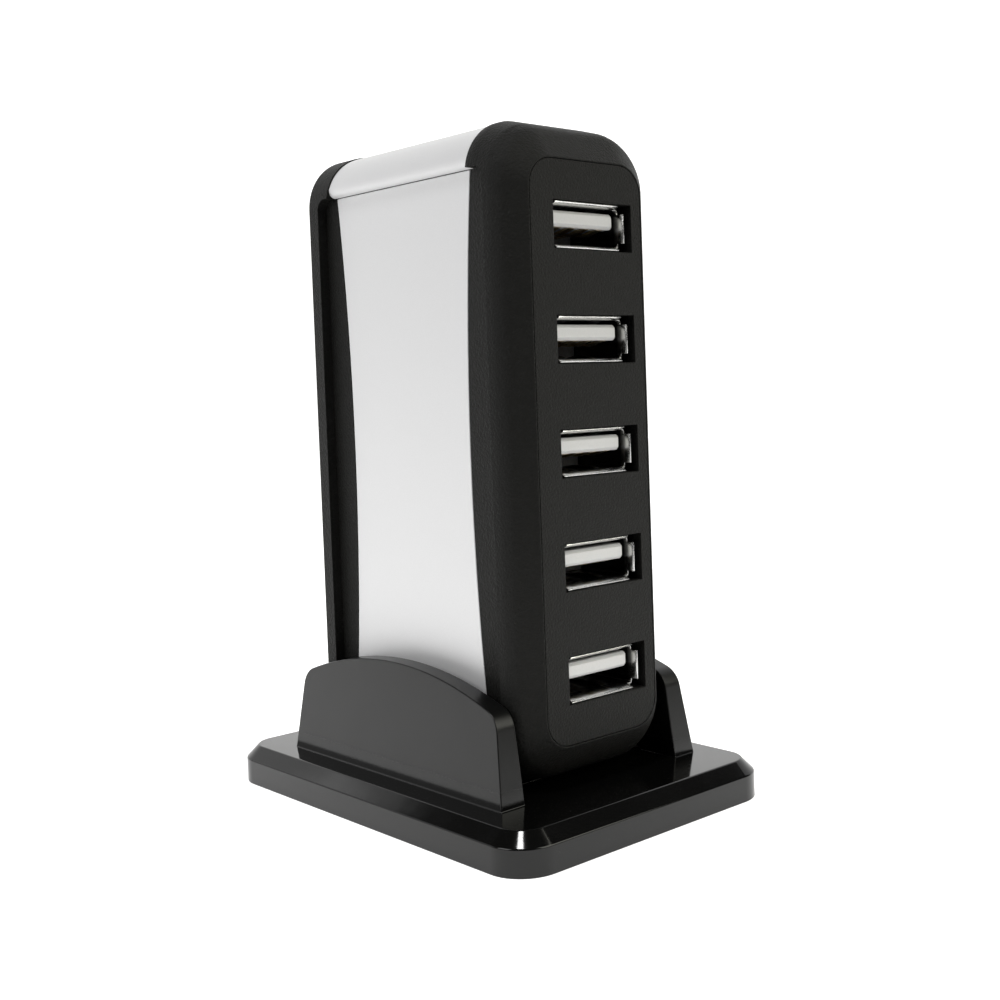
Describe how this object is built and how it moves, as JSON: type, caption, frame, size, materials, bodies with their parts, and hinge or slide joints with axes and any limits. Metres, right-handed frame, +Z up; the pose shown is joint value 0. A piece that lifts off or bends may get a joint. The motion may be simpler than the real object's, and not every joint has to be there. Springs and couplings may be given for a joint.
{
  "type": "powered usb hub",
  "caption": "Slim upright hub tower with a column of USB sockets on its narrow front, standing between the cheeks of a bevelled desk stand.",
  "frame": {"origin": "middle of the stand's underside, on the surface it rests on", "axes": "+Z up; -Y out of the face with the column of ports; +X to the right, seen from that face"},
  "size_m": [0.0448, 0.0628, 0.0886],
  "materials": {
    "stand_plastic": "polished black",
    "housing_plastic": "fine matte grain, black",
    "silver_plastic": "satin silver paint",
    "shell_steel": "bright plated",
    "insulator_plastic": "satin off-white",
    "contact_alloy": "bright plated",
    "board_laminate": "satin green",
    "chip_epoxy": "matte black",
    "crystal_steel": "satin",
    "capacitor_can": "satin",
    "jack_plastic": "matte black",
    "screw_steel": "zinc plated"
  },
  "bodies": {
    "root": {"stand": "stand_plastic", "front_housing": "housing_plastic", "rear_housing": "housing_plastic", "port_plate": "housing_plastic", "left_side_panel": "silver_plastic", "right_side_panel": "silver_plastic", "top_strip": "silver_plastic", "bottom_strip": "silver_plastic", "circuit_board": "board_laminate", "board_screws": "screw_steel", "port_1_shell": "shell_steel", "port_1_insulator": "insulator_plastic", "port_1_contacts": "contact_alloy", "port_2_shell": "shell_steel", "port_2_insulator": "insulator_plastic", "port_2_contacts": "contact_alloy", "port_3_shell": "shell_steel", "port_3_insulator": "insulator_plastic", "port_3_contacts": "contact_alloy", "port_4_shell": "shell_steel", "port_4_insulator": "insulator_plastic", "port_4_contacts": "contact_alloy", "port_5_shell": "shell_steel", "port_5_insulator": "insulator_plastic", "port_5_contacts": "contact_alloy", "rear_port_1_shell": "shell_steel", "rear_port_1_insulator": "insulator_plastic", "rear_port_1_contacts": "contact_alloy", "rear_port_2_shell": "shell_steel", "rear_port_2_insulator": "insulator_plastic", "rear_port_2_contacts": "contact_alloy", "upstream_port_shell": "shell_steel", "upstream_port_insulator": "jack_plastic", "upstream_port_contacts": "contact_alloy", "power_jack_body": "jack_plastic", "power_jack_pin": "contact_alloy", "power_jack_spring": "contact_alloy", "hub_controller_1": "chip_epoxy", "crystal_1": "crystal_steel", "hub_controller_2": "chip_epoxy", "crystal_2": "crystal_steel", "capacitor_1": "capacitor_can", "capacitor_2": "capacitor_can", "capacitor_3": "capacitor_can"}
  },
  "joints": []
}
